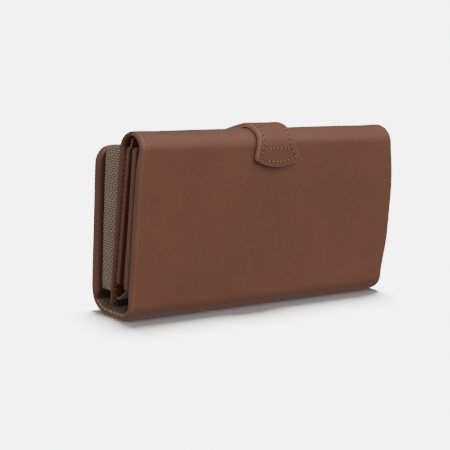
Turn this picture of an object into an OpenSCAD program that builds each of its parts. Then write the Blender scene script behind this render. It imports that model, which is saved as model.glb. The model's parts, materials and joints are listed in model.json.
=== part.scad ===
// Long trifold wallet with a zipped coin purse and a closure tab.
// X runs along the fold, -Y is the front, +Z is up.
// The origin is at the middle of the base, on the surface it stands on.
// The outer leather runs from the rear cover through the spine, up the
// front cover, over the top roll and down the card flap tucked inside.

/* [Overall] */
// Length along the fold
wallet_length = 190; // [160:1:210]
// Height from the base to the crest of the top roll
wallet_height = 100; // [90:1:115]
// Depth over the two covers at the spine
spine_depth = 36.5; // [33:0.5:42]
// Angle that the coin purse leans the rear cover back
rear_lean = 3; // [0:0.5:4]
// How much lower than the wallet the rear cover is, along its own face
rear_drop = 10; // [8:1:18]

/* [Leather and filling] */
// Thickness of the outer leather
leather_t = 1.8; // [1.4:0.1:2]
// Thickness of the soft filling behind the leather
foam_t = 0.8; // [0.6:0.1:1]
// Thickness of the stiffening board
board_t = 0.8; // [0.6:0.1:1]
// Thickness of the fabric linings
lining_t = 0.5; // [0.4:0.1:0.7]

/* [Folds] */
// Outer radius where a cover turns into the spine
corner_r = 10; // [8:0.5:12]
// Outer radius of the top roll
roll_r = 9.5; // [8:0.5:10.5]
// Wall of the top roll, leather and its turned edge
roll_wall = 2.4; // [2:0.1:3]

/* [Card flap and card panels] */
// Height of the flap's free edge above the base
flap_tip_z = 5.5; // [5:0.5:12]
// Thickness of the flap at the roll
flap_top_t = 4.6; // [4.2:0.1:5]
// Thickness of the flap at its free edge
flap_tip_t = 2.6; // [2.4:0.1:3]
// Distance of the card panels from the wallet's ends
panel_inset = 1.5; // [1:0.5:4]
// Height of the card panels' lower edges above the base
panel_base_z = 18; // [16:0.5:22]
// Distance of the card panels' upper edges below the roll's crest
panel_drop = 8; // [6:1:20]
// Step between one card slot's mouth and the next
slot_step = 13; // [10:1:16]
// Thickness of the leather of a card slot
slot_t = 0.6; // [0.5:0.1:0.7]

/* [Coin purse and zip] */
// Distance of the purse's end gussets from the wallet's ends
purse_inset = 3.5; // [2:0.5:6]
// Height of the purse's floor above the base
purse_base_z = 12.5; // [12:0.5:18]
// Distance of the end gussets' tops below the roll's crest
gusset_drop = 9; // [8:0.5:12]
// Thickness of the woven purse fabric
fabric_t = 0.8; // [0.6:0.1:1]
// Travel of the zip slider
zip_travel = 135; // [80:5:140]
// How far the middle of the zip's run lies to the right of the wallet's middle
zip_offset = 0.5; // [-2:0.5:2]

/* [Closure tab] */
// Width of the tab's strap
strap_w = 24; // [18:1:28]
// Width of the tab's fan-shaped end
fan_w = 33; // [30:1:38]
// Distance of the lowest point of the fan below the roll's crest
fan_drop = 20; // [18:1:26]
// Thickness of each of the tab's two leathers
strap_layer_t = 1.3; // [1:0.1:1.5]
// Length of strap sewn to the rear cover
root_length = 34; // [20:1:45]
// Length of one stitch
stitch_length = 2.1; // [1.6:0.1:2.4]
// Distance between stitches
stitch_pitch = 2.9; // [2.6:0.1:3.4]

/* [Hidden] */

$fn = 96;
e = 0.01;               // overlap that a cutting solid runs past a face
fold_gap = 0.5;         // degrees left open at each fold line
fit_gap = 0.2;          // clearance around a piece set into another

leather = [0.44, 0.28, 0.21];
leather_dark = [0.36, 0.22, 0.17];
leather_light = [0.54, 0.38, 0.31];
woven = [0.55, 0.49, 0.41];
grey_lining = [0.45, 0.43, 0.41];
greyboard = [0.60, 0.57, 0.52];
foam = [0.85, 0.83, 0.78];
thread = [0.30, 0.18, 0.13];
metal = [0.72, 0.62, 0.42];

// Heights that follow the crest of the top roll
rear_height = wallet_height - rear_drop;
panel_top_z = wallet_height - panel_drop;
gusset_top_z = wallet_height - gusset_drop;
fan_base_z = wallet_height - fan_drop;

// Depth positions, set out so that the whole wallet is centred on Y
strap_t = 2 * strap_layer_t;
lean_run = (rear_height - corner_r) * sin(rear_lean);
front_y = -(spine_depth + lean_run) / 2;
rear_y = front_y + spine_depth;

// Fold lines: each lies on the leather's outer face
front_corner = [front_y + corner_r, corner_r];
rear_corner = [rear_y - corner_r, corner_r];
front_fold = front_corner + corner_r * [cos(225), sin(225)];
rear_fold = rear_corner + corner_r * [cos(315), sin(315)];

// Top roll
roll_centre = [front_y + roll_r, wallet_height - roll_r];
flap_rear_y = roll_centre[0] + roll_r;

// Front cover, from the outside in
front_leather_y = front_y + leather_t;
front_foam_y = front_leather_y + foam_t;
front_board_y = front_foam_y + board_t;
front_inner_y = front_board_y + lining_t;
fill_base_z = corner_r + 1;
fill_top_z = roll_centre[1] - 0.5;

// Card panels
panel_length = wallet_length - 2 * panel_inset;
slot_count = 3;
column_gap = 3;
column_length = (panel_length - 3 * column_gap) / 2;
note_gap = 2;
front_panel_y = front_inner_y + note_gap;

// Card flap, whose inner face slopes from the roll to its free edge
flap_skin_t = 1.2;
flap_top_z = roll_centre[1];
flap_height = flap_top_z - flap_tip_z;
flap_slope = atan((flap_top_t - flap_tip_t) / flap_height);

// Rear cover in its own upright frame
rear_fill_t = 3.4 - leather_t;
rear_board_t = 1;
rear_skin_t = 0.8;
rear_stack = leather_t + rear_fill_t + rear_board_t + rear_skin_t;
rear_edge_z = rear_height - rear_stack;
rear_inner_y = rear_y - rear_stack;

// Coin purse
purse_front_y = flap_rear_y + 0.9;
gusset_x = wallet_length / 2 - purse_inset;
purse_length = 2 * (gusset_x - fabric_t);
tape_z = gusset_top_z - 4.2;
shoulder_r = 9;

// Zip
tape_t = 0.5;
teeth_w = 1.3;
teeth_h = 1.5;
zip_y = (purse_front_y + leaned(rear_inner_y, tape_z)[0]) / 2;
slider_x = zip_travel / 2 + zip_offset;
slider_length = 9;
teeth_end_x = slider_x - 2;
teeth_start_x = slider_x - zip_travel - slider_length / 2 - 3;
slider_w = 7;
slider_plate_t = 0.8;
teeth_mid_z = tape_z + tape_t / 2;
slider_low_z = teeth_mid_z - teeth_h / 2 - 0.3;
slider_top_z = teeth_mid_z + teeth_h / 2 + 0.3;
bridge_z = slider_top_z + slider_plate_t;
bridge_window = 1.6;
bridge_bar_t = 0.7;
bridge_w = 1.4;
bridge_span = 7.2;
bridge_leg = 1.2;
pull_length = 20;
pull_w = 5;
pull_t = 0.8;
pull_z = bridge_z + bridge_window / 2;
eye_w = 2;
eye_start = pull_t / 2 + 0.05;
eye_end = bridge_span / 2 + 1.3;

// Closure tab
strap_gap = 0.2;
strap_in_r = roll_r + strap_gap;
strap_out_r = strap_in_r + strap_t;
hinge_z = rear_height + 0.8;
hinge = leaned(rear_y + strap_t, hinge_z);
to_hinge = hinge - roll_centre;
leave_angle = atan2(to_hinge[1], to_hinge[0])
    + acos(strap_out_r / norm(to_hinge));
strap_reach = sqrt(pow(norm(to_hinge), 2) - pow(strap_out_r, 2));
strap_mitre = tan((leave_angle + rear_lean) / 2);
mitre_gap = 0.1;
strap_face_y = front_y - strap_gap - strap_t;
fan_shoulder_z = fan_base_z + 4.2;
fan_side_h = roll_centre[1] - fan_shoulder_z;
fan_side_w = (fan_w - strap_w) / 2;
fan_side_r = (pow(fan_side_w, 2) + pow(fan_side_h, 2)) / (2 * fan_side_w);
fan_sag = fan_shoulder_z - fan_base_z;
fan_base_r = (pow(fan_w / 2, 2) + pow(fan_sag, 2)) / (2 * fan_sag);
fan_side_sweep = asin(fan_side_h / fan_side_r);
fan_base_sweep = asin(fan_w / 2 / fan_base_r);
fan_side_steps = 10;
fan_base_steps = 24;
strap_steps = 24;
magnet_r = 3.2;
magnet_t = 0.7;
magnet_z = min(fan_base_z + 6.5, wallet_height - roll_r - magnet_r - 0.6);
seam_inset = 2.7;
seam_z = roll_centre[1] - 1;
stitch_w = 0.6;
stitch_h = 0.3;

// A point of the rear cover's upright frame, leaned about the rear fold
function leaned(y, z) = let (dy = y - rear_fold[0], dz = z - rear_fold[1])
    [
        rear_fold[0] + dy * cos(rear_lean) + dz * sin(rear_lean),
        rear_fold[1] + dz * cos(rear_lean) - dy * sin(rear_lean)
    ];

// Depth of a plane of the leaned rear cover at a height above the base
function leaned_y(y, z) =
    rear_fold[0] + (y - rear_fold[0]) / cos(rear_lean)
    + (z - rear_fold[1]) * tan(rear_lean);

// Leans children about the rear fold
module lean_back() {
    translate([0, rear_fold[0], rear_fold[1]])
        rotate([-rear_lean, 0, 0])
            translate([0, -rear_fold[0], -rear_fold[1]]) children();
}

// Extrudes a section drawn in (Y, Z) along X
module along_x(length, x = 0) {
    translate([x - length / 2, 0, 0])
        rotate([90, 0, 90]) linear_extrude(length) children();
}

// A block between two depths and two heights
module slab(length, y0, y1, z0, z1, x = 0) {
    translate([x - length / 2, y0, z0]) cube([length, y1 - y0, z1 - z0]);
}

// Section of a bent strip: a ring sector about a centre
module bend(centre, outer_r, wall, from, to) {
    far = 2 * outer_r;
    mid = (from + to) / 2;
    translate(centre) intersection() {
        difference() {
            circle(outer_r);
            circle(outer_r - wall);
        }
        polygon([
            [0, 0],
            far * [cos(from), sin(from)],
            far * [cos(mid), sin(mid)],
            far * [cos(to), sin(to)]
        ]);
    }
}

// Stepped card slots in two columns, from a backing plane towards +Y
module slot_stack(y) {
    for (side = [-1, 1], i = [0 : slot_count - 1])
        slab(column_length, y + i * slot_t, y + (i + 1) * slot_t,
            panel_base_z, panel_top_z - 6 - i * slot_step,
            side * (column_length + column_gap) / 2);
}

// Turns a panel built on the front cover to lie on the flap's inner face
module on_flap() {
    translate([0, flap_rear_y - flap_top_t, flap_top_z])
        rotate([flap_slope, 0, 0])
            mirror([0, 1, 0]) translate([0, 0, -flap_top_z]) children();
}

// One stitch lying flat on a face of constant Y
module stitch(x, y, z, turn = 0) {
    translate([x, y, z]) rotate([0, turn, 0])
        cube([stitch_length, stitch_h, stitch_w], center = true);
}

// ---- Spine -------------------------------------------------------------

module spine_leather() {
    color(leather) along_x(wallet_length) {
        bend(front_corner, corner_r, leather_t, 225 + fold_gap, 270);
        translate([front_corner[0], 0])
            square([rear_corner[0] - front_corner[0], leather_t]);
        bend(rear_corner, corner_r, leather_t, 270, 315 - fold_gap);
    }
}

module spine_lining() {
    color(woven)
        slab(wallet_length - 1, front_corner[0] + 1, rear_corner[0] - 1,
            leather_t, leather_t + lining_t);
}

// ---- Front cover -------------------------------------------------------

module front_leather() {
    color(leather) along_x(wallet_length) {
        bend(front_corner, corner_r, leather_t, 180, 225 - fold_gap);
        translate([front_y, corner_r])
            square([leather_t, roll_centre[1] - corner_r]);
    }
}

module front_foam() {
    color(foam) difference() {
        slab(wallet_length - 4, front_leather_y, front_foam_y,
            fill_base_z, fill_top_z);
        translate([0, front_leather_y - e, magnet_z]) rotate([-90, 0, 0])
            cylinder(r = magnet_r + fit_gap, h = foam_t + 2 * e);
    }
}

module front_board() {
    color(greyboard)
        slab(wallet_length - 4, front_foam_y, front_board_y,
            fill_base_z, fill_top_z);
}

module front_lining() {
    color(woven)
        slab(wallet_length - 1, front_board_y, front_inner_y,
            fill_base_z, fill_top_z);
}

module front_roll() {
    color(leather) along_x(wallet_length)
        bend(roll_centre, roll_r, roll_wall, 90 + fold_gap, 180);
}

module cover_magnet() {
    color("silver") translate([0, front_leather_y, magnet_z])
        rotate([-90, 0, 0]) cylinder(r = magnet_r, h = magnet_t);
}

// Floor of the note pocket, with the loose fold that shows at the ends
module note_lining() {
    floor_z = panel_base_z - 2.4;
    hem = [flap_rear_y - flap_tip_t - 1.4, flap_tip_z + 2.5];
    inner = front_panel_y + 2.6;
    color(grey_lining) along_x(panel_length - 2) polygon([
        [front_inner_y, floor_z], [inner, floor_z], hem,
        hem + [0.2, lining_t], [inner, floor_z + lining_t],
        [front_inner_y, floor_z + lining_t]
    ]);
}

module front_card_backing() {
    color(leather_dark)
        slab(panel_length, front_panel_y, front_panel_y + slot_t,
            panel_base_z - 1.9, panel_top_z);
}

module front_card_slots() {
    color(leather) slot_stack(front_panel_y + slot_t);
}

// ---- Card flap ---------------------------------------------------------

module flap_roll() {
    color(leather) along_x(wallet_length)
        bend(roll_centre, roll_r, roll_wall, 0, 90 - fold_gap);
}

module flap_leather() {
    color(leather)
        slab(wallet_length - 1, flap_rear_y - flap_skin_t, flap_rear_y,
            flap_tip_z, flap_top_z);
}

// Section of the flap between its rear face and a depth inside it
module flap_wedge(skin_in, skin_out) {
    polygon([
        [flap_rear_y - skin_in, flap_tip_z],
        [flap_rear_y - flap_tip_t + skin_out, flap_tip_z],
        [flap_rear_y - flap_top_t + skin_out, flap_top_z],
        [flap_rear_y - skin_in, flap_top_z]
    ]);
}

module flap_filler() {
    color(foam) along_x(wallet_length - 5)
        flap_wedge(flap_skin_t, flap_skin_t);
}

module flap_inner_leather() {
    color(leather_dark) along_x(wallet_length - 1) difference() {
        flap_wedge(flap_skin_t, 0);
        flap_wedge(-e, flap_skin_t);
    }
}

module flap_stitching() {
    count = floor((flap_height - 8) / stitch_pitch);
    color(thread) on_flap()
        for (side = [-1, 1], i = [1 : count])
            stitch(side * (wallet_length / 2 - 1.1), stitch_h / 2,
                flap_top_z - i * stitch_pitch, 90);
}

module flap_card_backing() {
    color(leather_dark) on_flap()
        slab(panel_length - 2, 0, slot_t, panel_base_z, panel_top_z);
}

module flap_card_slots() {
    color(leather) on_flap() slot_stack(slot_t);
}

// ---- Rear cover --------------------------------------------------------

module rear_leather() {
    color(leather) lean_back() along_x(wallet_length) {
        bend(rear_corner, corner_r, leather_t, 315 + fold_gap, 360);
        translate([rear_y - leather_t, corner_r])
            square([leather_t, rear_edge_z - corner_r]);
        bend([rear_y - rear_stack, rear_edge_z], rear_stack, leather_t, 0, 90);
    }
}

module rear_foam() {
    color(foam) lean_back() along_x(wallet_length - 4) {
        translate([rear_y - leather_t - rear_fill_t, fill_base_z])
            square([rear_fill_t, rear_edge_z - fill_base_z]);
        bend([rear_y - rear_stack, rear_edge_z], rear_stack - leather_t,
            rear_stack - leather_t - 1, 0, 90);
    }
}

module rear_board() {
    board_y = rear_inner_y + rear_skin_t;
    color(greyboard) lean_back()
        slab(wallet_length - 4, board_y, board_y + rear_board_t,
            fill_base_z, rear_edge_z);
}

module rear_lining() {
    color(leather_dark) lean_back()
        slab(wallet_length - 1, rear_inner_y, rear_inner_y + rear_skin_t,
            fill_base_z, rear_edge_z);
}

// ---- Coin purse --------------------------------------------------------

module purse_front_wall() {
    color(woven)
        slab(purse_length, purse_front_y, purse_front_y + fabric_t,
            purse_base_z, tape_z + tape_t);
}

module purse_rear_wall() {
    color(woven) lean_back()
        slab(purse_length, rear_inner_y - fabric_t, rear_inner_y,
            purse_base_z, rear_edge_z);
}

module purse_floor() {
    rear_wall_y = leaned_y(rear_inner_y - fabric_t, purse_base_z) - 0.2;
    color(woven)
        slab(purse_length, purse_front_y + fabric_t, rear_wall_y,
            purse_base_z, purse_base_z + fabric_t);
}

// Section of an end gusset, rounded over towards the rear cover
module gusset_section() {
    top_y = leaned_y(rear_inner_y, gusset_top_z) - 0.1;
    round_c = [top_y - shoulder_r - 0.4, gusset_top_z - shoulder_r];
    difference() {
        polygon([
            [purse_front_y, purse_base_z],
            [leaned_y(rear_inner_y, purse_base_z) - 0.1, purse_base_z],
            [top_y, gusset_top_z],
            [purse_front_y, gusset_top_z]
        ]);
        difference() {
            translate(round_c) square(2 * shoulder_r);
            translate(round_c) circle(shoulder_r);
        }
    }
}

module purse_gusset(side) {
    color(woven) along_x(fabric_t, side * (gusset_x - fabric_t / 2))
        gusset_section();
}

module purse_left_gusset() { purse_gusset(-1); }

module purse_right_gusset() { purse_gusset(1); }

// ---- Zip ---------------------------------------------------------------

module zip_front_tape() {
    color(leather_dark)
        slab(purse_length, purse_front_y + fabric_t, zip_y - teeth_w,
            tape_z, tape_z + tape_t);
}

module zip_rear_tape() {
    rear_wall_y = leaned_y(rear_inner_y - fabric_t, tape_z) - 0.2;
    color(leather_dark)
        slab(purse_length, zip_y + teeth_w, rear_wall_y,
            tape_z, tape_z + tape_t);
}

module zip_teeth(y0) {
    color(metal) translate([teeth_start_x, y0, teeth_mid_z - teeth_h / 2])
        cube([teeth_end_x - teeth_start_x, teeth_w, teeth_h]);
}

module zip_front_teeth() { zip_teeth(zip_y - teeth_w); }

module zip_rear_teeth() { zip_teeth(zip_y); }

module zip_stops() {
    stop_x = teeth_start_x - 2.4;
    color(metal)
        slab(2, zip_y - teeth_w, zip_y + teeth_w,
            tape_z - 0.4, tape_z + tape_t + 0.6, stop_x + 1);
}

// Two plates joined by a post, with a bridge that holds the pull
module zip_slider_body() {
    y0 = zip_y - slider_w / 2;
    y1 = zip_y + slider_w / 2;
    bridge_y = zip_y - bridge_w / 2;
    leg_top = bridge_z + bridge_window;
    leg_x = (bridge_span - bridge_leg) / 2;
    color(metal) {
        slab(slider_length, y0, y1, slider_low_z - slider_plate_t,
            slider_low_z, slider_x);
        slab(slider_length, y0, y1, slider_top_z, bridge_z, slider_x);
        slab(2, zip_y - 0.8, zip_y + 0.8, slider_low_z - e,
            slider_top_z + e, slider_x + slider_length / 2 - 1.5);
        for (side = [-1, 1])
            slab(bridge_leg, bridge_y, bridge_y + bridge_w, bridge_z - e,
                leg_top + e, slider_x + side * leg_x);
        slab(bridge_span, bridge_y, bridge_y + bridge_w, leg_top,
            leg_top + bridge_bar_t, slider_x);
    }
}

// Flat tag whose cross bar turns under the slider's bridge
module zip_pull_tag() {
    color(metal) translate([slider_x, zip_y, pull_z]) difference() {
        union() {
            translate([-pull_length, -pull_w / 2, -pull_t / 2])
                cube([pull_length, pull_w, pull_t]);
            rotate([90, 0, 0])
                cylinder(r = pull_t / 2, h = pull_w, center = true);
        }
        translate([-eye_end, -eye_w / 2, -pull_t])
            cube([eye_end - eye_start, eye_w, 2 * pull_t]);
    }
}

// ---- Closure tab -------------------------------------------------------

module strap_root() {
    base = hinge_z - root_length;
    top = hinge_z - mitre_gap;
    color(leather) lean_back() along_x(strap_w) polygon([
        [rear_y, base],
        [rear_y + strap_t, base],
        [rear_y + strap_t, top],
        [rear_y, top - strap_t * strap_mitre]
    ]);
}

module root_stitching() {
    face_y = rear_y + strap_t + stitch_h / 2;
    low_z = hinge_z - root_length + seam_inset;
    rows = floor((root_length - 8) / stitch_pitch);
    columns = floor((strap_w - 2 * seam_inset) / stitch_pitch);
    color(thread) lean_back() {
        for (side = [-1, 1], i = [1 : rows])
            stitch(side * (strap_w / 2 - seam_inset), face_y,
                low_z + i * stitch_pitch, 90);
        for (i = [0 : columns])
            stitch((i - columns / 2) * stitch_pitch, face_y, low_z);
    }
}

// Arc of the strap over the roll, from the front to where it leaves the roll
function strap_arc(r) = [
    for (i = [0 : strap_steps])
        let (turn = 180 - i / strap_steps * (180 - leave_angle))
            roll_centre + r * [cos(turn), sin(turn)]
];

// Mitred end at the hinge of a face of the strap, at a height off the roll
function strap_end(height) =
    let (run = strap_reach - mitre_gap - (strap_t - height) * strap_mitre)
        roll_centre
        + (strap_in_r + height) * [cos(leave_angle), sin(leave_angle)]
        + run * [sin(leave_angle), -cos(leave_angle)];

// Section of one leather of the strap, from the hinge over the roll
module strap_section(inner, outer) {
    low = strap_arc(strap_in_r + inner);
    back = [for (i = [strap_steps : -1 : 0]) low[i]];
    polygon(concat(
        strap_arc(strap_in_r + outer),
        [strap_end(outer), strap_end(inner)],
        back
    ));
}

// One flared side of the fan's outline in (X, Z), from the roll down
function fan_side(side) = [
    for (i = [0 : fan_side_steps - 1])
        let (turn = i / fan_side_steps * fan_side_sweep) [
            side * (strap_w / 2 + fan_side_r * (1 - cos(turn))),
            roll_centre[1] - fan_side_r * sin(turn)
        ]
];

// The fan's curved lower edge, from its left corner to its right
fan_base = [
    for (i = [0 : fan_base_steps])
        let (turn = (2 * i / fan_base_steps - 1) * fan_base_sweep) [
            fan_base_r * sin(turn),
            fan_base_z + fan_base_r * (1 - cos(turn))
        ]
];

module fan_outline() {
    right = fan_side(1);
    up = [for (i = [fan_side_steps - 1 : -1 : 0]) right[i]];
    polygon(concat(fan_side(-1), fan_base, up));
}

module fan(y0, y1) {
    translate([0, y1, 0]) rotate([90, 0, 0])
        linear_extrude(y1 - y0) fan_outline();
}

module tab_leather() {
    color(leather) {
        along_x(strap_w) strap_section(strap_layer_t, strap_t);
        fan(strap_face_y, strap_face_y + strap_layer_t);
    }
}

module tab_lining() {
    color(leather_light) difference() {
        union() {
            along_x(strap_w) strap_section(0, strap_layer_t);
            fan(strap_face_y + strap_layer_t, strap_face_y + strap_t);
        }
        translate([0, strap_face_y + strap_layer_t - e, magnet_z])
            rotate([-90, 0, 0])
                cylinder(r = magnet_r + fit_gap, h = magnet_t + e);
    }
}

module tab_magnet() {
    color("silver") translate([0, strap_face_y + strap_layer_t, magnet_z])
        rotate([-90, 0, 0]) cylinder(r = magnet_r, h = magnet_t);
}

module tab_stitching() {
    y = strap_face_y - stitch_h / 2;
    across = floor((strap_w - 2 * seam_inset) / stitch_pitch);
    seam_r = fan_base_r - seam_inset;
    sweep = stitch_pitch / seam_r * 180 / PI;
    half = floor((fan_w / 2 - seam_inset) / stitch_pitch);
    color(thread) {
        for (i = [0 : across])
            stitch((i - across / 2) * stitch_pitch, y, seam_z);
        for (i = [-half : half])
            stitch(seam_r * sin(i * sweep), y,
                fan_base_z + fan_base_r - seam_r * cos(i * sweep),
                -i * sweep);
    }
}

// ---- Output ------------------------------------------------------------

spine_leather();
spine_lining();
front_leather();
front_foam();
front_board();
front_lining();
front_roll();
cover_magnet();
note_lining();
front_card_backing();
front_card_slots();
flap_roll();
flap_leather();
flap_filler();
flap_inner_leather();
flap_stitching();
flap_card_backing();
flap_card_slots();
rear_leather();
rear_foam();
rear_board();
rear_lining();
purse_front_wall();
purse_rear_wall();
purse_floor();
purse_left_gusset();
purse_right_gusset();
zip_front_tape();
zip_rear_tape();
zip_front_teeth();
zip_rear_teeth();
zip_stops();
strap_root();
root_stitching();
tab_leather();
tab_lining();
tab_magnet();
tab_stitching();
zip_slider_body();
zip_pull_tag();
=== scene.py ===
# %% [markdown]
# # A long trifold wallet in leather
# This lesson dresses a measured model of a long wallet. The model already
# holds every piece in its true place, so each new piece takes its position
# from the model's own boxes and hinges. The lesson goes from the camera and
# the light to the outer leather, the inside, the zip and the closure tab.

# %% Load the measured model
import json
import math

import bmesh
import bpy
from mathutils import Matrix, Vector, noise


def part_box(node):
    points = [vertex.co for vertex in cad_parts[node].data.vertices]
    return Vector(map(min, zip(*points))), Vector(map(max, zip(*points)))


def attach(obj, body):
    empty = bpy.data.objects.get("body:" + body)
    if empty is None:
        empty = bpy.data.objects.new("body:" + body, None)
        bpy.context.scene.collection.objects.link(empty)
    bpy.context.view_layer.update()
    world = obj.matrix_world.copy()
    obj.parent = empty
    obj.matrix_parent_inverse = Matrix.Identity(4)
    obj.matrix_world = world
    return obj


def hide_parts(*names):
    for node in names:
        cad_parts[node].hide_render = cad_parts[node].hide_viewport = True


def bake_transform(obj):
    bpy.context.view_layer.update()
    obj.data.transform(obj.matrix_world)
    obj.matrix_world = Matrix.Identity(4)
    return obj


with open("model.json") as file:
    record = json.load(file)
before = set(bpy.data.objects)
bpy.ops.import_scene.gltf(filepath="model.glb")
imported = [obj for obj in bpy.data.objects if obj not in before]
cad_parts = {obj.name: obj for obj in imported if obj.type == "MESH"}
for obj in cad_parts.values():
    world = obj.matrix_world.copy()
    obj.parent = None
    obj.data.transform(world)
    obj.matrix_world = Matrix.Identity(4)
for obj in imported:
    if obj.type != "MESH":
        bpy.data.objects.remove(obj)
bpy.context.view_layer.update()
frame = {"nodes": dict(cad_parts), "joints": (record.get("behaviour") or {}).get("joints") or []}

print("pieces in the measured model:", len(frame["nodes"]))

# %% [markdown]
# ## Measures that everything follows
# A wallet is one long strip of leather, folded round its contents. The
# folds are at the hinges, so the fold radius, the roll at the top and the
# lean of the rear cover all come from the hinges' own places and limits.

# %% Measures from the hinges and boxes
MM = 0.001
joint = {j["name"]: j for j in frame["joints"]}
hinge_at = {n: Vector(j["pos_m"]) for n, j in joint.items() if "pos_m" in j}

half_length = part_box("front_leather")[1].x
front_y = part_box("front_leather")[0].y
crest = hinge_at["flap_unfold"]
roll_r = crest.y - front_y
roll_z = crest.z - roll_r
fold_z = hinge_at["front_open"].z
corner_r = fold_z / (1 - math.cos(math.radians(45)))
lean_deg = joint["rear_open"]["range_deg"][1] - 90
lean = math.radians(lean_deg)
spine_low, spine_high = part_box("spine_leather")
spine_y = (spine_low.y + spine_high.y) / 2
flap_rear_y = crest.y + roll_r
flap_tip_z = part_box("flap_leather")[0].z
print(f"fold radius {corner_r / MM:.1f} mm, roll radius {roll_r / MM:.1f} mm,"
      f" lean {lean_deg:.0f} degrees, spine middle {spine_y / MM:.2f} mm")

# %% [markdown]
# ## Camera
# The wallet is seen from the front left, a little from above, through a
# long lens. A camera is easiest to place from its target: two angles give
# the direction back to the camera, and a small roll about that direction
# sets the horizon.

# %% Camera
azimuth, elevation, roll = (math.radians(a) for a in (41.52, 10.41, 4.21))
CAMERA_DISTANCE = 0.8194
back = Vector((-math.sin(azimuth) * math.cos(elevation),
               -math.cos(azimuth) * math.cos(elevation),
               math.sin(elevation)))
side = (-back).cross(Vector((0, 0, 1))).normalized()
above = side.cross(-back)
right = math.cos(roll) * side + math.sin(roll) * above
up = -math.sin(roll) * side + math.cos(roll) * above
target = (Vector((0, front_y + 17.5 * MM, 50 * MM))
          - 14.62 * MM * right - 6.39 * MM * up)
camera = bpy.data.objects.new("camera", bpy.data.cameras.new("camera"))
bpy.context.scene.collection.objects.link(camera)
camera.data.lens = 116
camera.data.sensor_width = 36
camera.data.clip_start = 0.01
camera.data.clip_end = 100
camera.matrix_world = (
    Matrix.Translation(target + CAMERA_DISTANCE * back)
    @ Matrix((right, up, back)).transposed().to_4x4())
bpy.context.scene.camera = camera
print("camera at", [round(c, 3) for c in camera.matrix_world.translation])

# %% [markdown]
# ## Node recipes
# Every finish here is made of shader nodes. One short helper adds a node,
# sets its options and fills its sockets, either with a value or with
# another node's output, so that a recipe reads like a list of steps. The
# others do a step that several recipes share.

# %% Helpers for shader nodes
def add(tree, kind, sockets=None, **options):
    node = tree.nodes.new("ShaderNode" + kind)
    for option, value in options.items():
        setattr(node, option, value)
    for name, value in (sockets or {}).items():
        if isinstance(value, bpy.types.NodeSocket):
            tree.links.new(value, node.inputs[name])
        else:
            node.inputs[name].default_value = value
    return node


def maths(tree, operation, first, second=0.0):
    return add(tree, "Math", {0: first, 1: second},
               operation=operation).outputs[0]


def blend_colours(tree, amount, first, second):
    node = add(tree, "Mix", data_type="RGBA")
    for socket, value in ((0, amount), (6, first), (7, second)):
        if isinstance(value, bpy.types.NodeSocket):
            tree.links.new(value, node.inputs[socket])
        else:
            node.inputs[socket].default_value = value
    return node.outputs[2]


def ramp(tree, value, low, high, to_low=0.0, to_high=1.0):
    return add(tree, "MapRange", {
        "Value": value, "From Min": low, "From Max": high,
        "To Min": to_low, "To Max": to_high}).outputs["Result"]


def cloud(tree, where, scale, detail, roughness=0.5):
    return add(tree, "TexNoise", {
        "Vector": where, "Scale": scale, "Detail": detail,
        "Roughness": roughness}).outputs["Fac"]


def relief(tree, shader, height, strength, distance):
    bump = add(tree, "Bump", {"Height": height, "Strength": strength,
                              "Distance": distance})
    tree.links.new(bump.outputs["Normal"], shader.inputs["Normal"])


def new_finish(name, **constants):
    finish = bpy.data.materials.new(name)
    finish.use_nodes = True
    shader = finish.node_tree.nodes["Principled BSDF"]
    for socket, value in constants.items():
        shader.inputs[socket.replace("_", " ")].default_value = value
    return finish, finish.node_tree, shader


print("recipe helpers ready")

# %% [markdown]
# ## Floor and light
# A product stands on a sweep of white paper that is lit much brighter than
# the product, so that the paper stays clean white. In a studio this takes
# flags and separate lamps. Here the paper has a sun of its own, tied to it
# by light linking, which still lets the wallet throw its shadow, and the
# other lamps leave the paper out, so that the shadow stays dark. The paper
# is hidden from bounced light as well, or it would wash out the wallet.

# %% Floor
floor_finish, tree, shader = new_finish(
    "white_paper", Roughness=0.9, Specular_IOR_Level=0.1)
paper_grain = cloud(tree, add(tree, "TexCoord").outputs["Object"], 2.0, 2.0)
tree.links.new(
    blend_colours(tree, paper_grain, (0.87, 0.872, 0.875, 1),
                  (0.88, 0.882, 0.885, 1)),
    shader.inputs["Base Color"])
FLOOR_RADIUS = 30
bm = bmesh.new()
bmesh.ops.create_circle(bm, cap_ends=True, segments=64,
                        radius=FLOOR_RADIUS)
floor_mesh = bpy.data.meshes.new("floor")
bm.to_mesh(floor_mesh)
bm.free()
floor = bpy.data.objects.new("floor", floor_mesh)
bpy.context.scene.collection.objects.link(floor)
floor_mesh.materials.append(floor_finish)
floor.visible_diffuse = False
floor.visible_glossy = False
paper_set = bpy.data.collections.new("paper_set")
bpy.context.scene.collection.children.link(paper_set)
paper_set.objects.link(floor)
all_but_paper = bpy.data.collections.new("all_but_paper")
all_but_paper.objects.link(floor)
all_but_paper.collection_objects[0].light_linking.link_state = "EXCLUDE"
print("floor radius", FLOOR_RADIUS, "m")

# %% Light
world = bpy.data.worlds.new("studio")
world.use_nodes = True
surround = world.node_tree.nodes["Background"]
surround.inputs["Color"].default_value = (1, 1, 1, 1)
surround.inputs["Strength"].default_value = 0.42
bpy.context.scene.world = world


def lamp(name, kind, place, aim, energy, lit=all_but_paper, **settings):
    data = bpy.data.lights.new(name, kind)
    data.energy = energy
    for setting, value in settings.items():
        setattr(data, setting, value)
    light = bpy.data.objects.new(name, data)
    bpy.context.scene.collection.objects.link(light)
    place = Vector(place)
    turn = (place - Vector(aim)).to_track_quat("Z", "Y").to_matrix()
    light.matrix_world = Matrix.Translation(place) @ turn.to_4x4()
    light.light_linking.receiver_collection = lit


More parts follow.
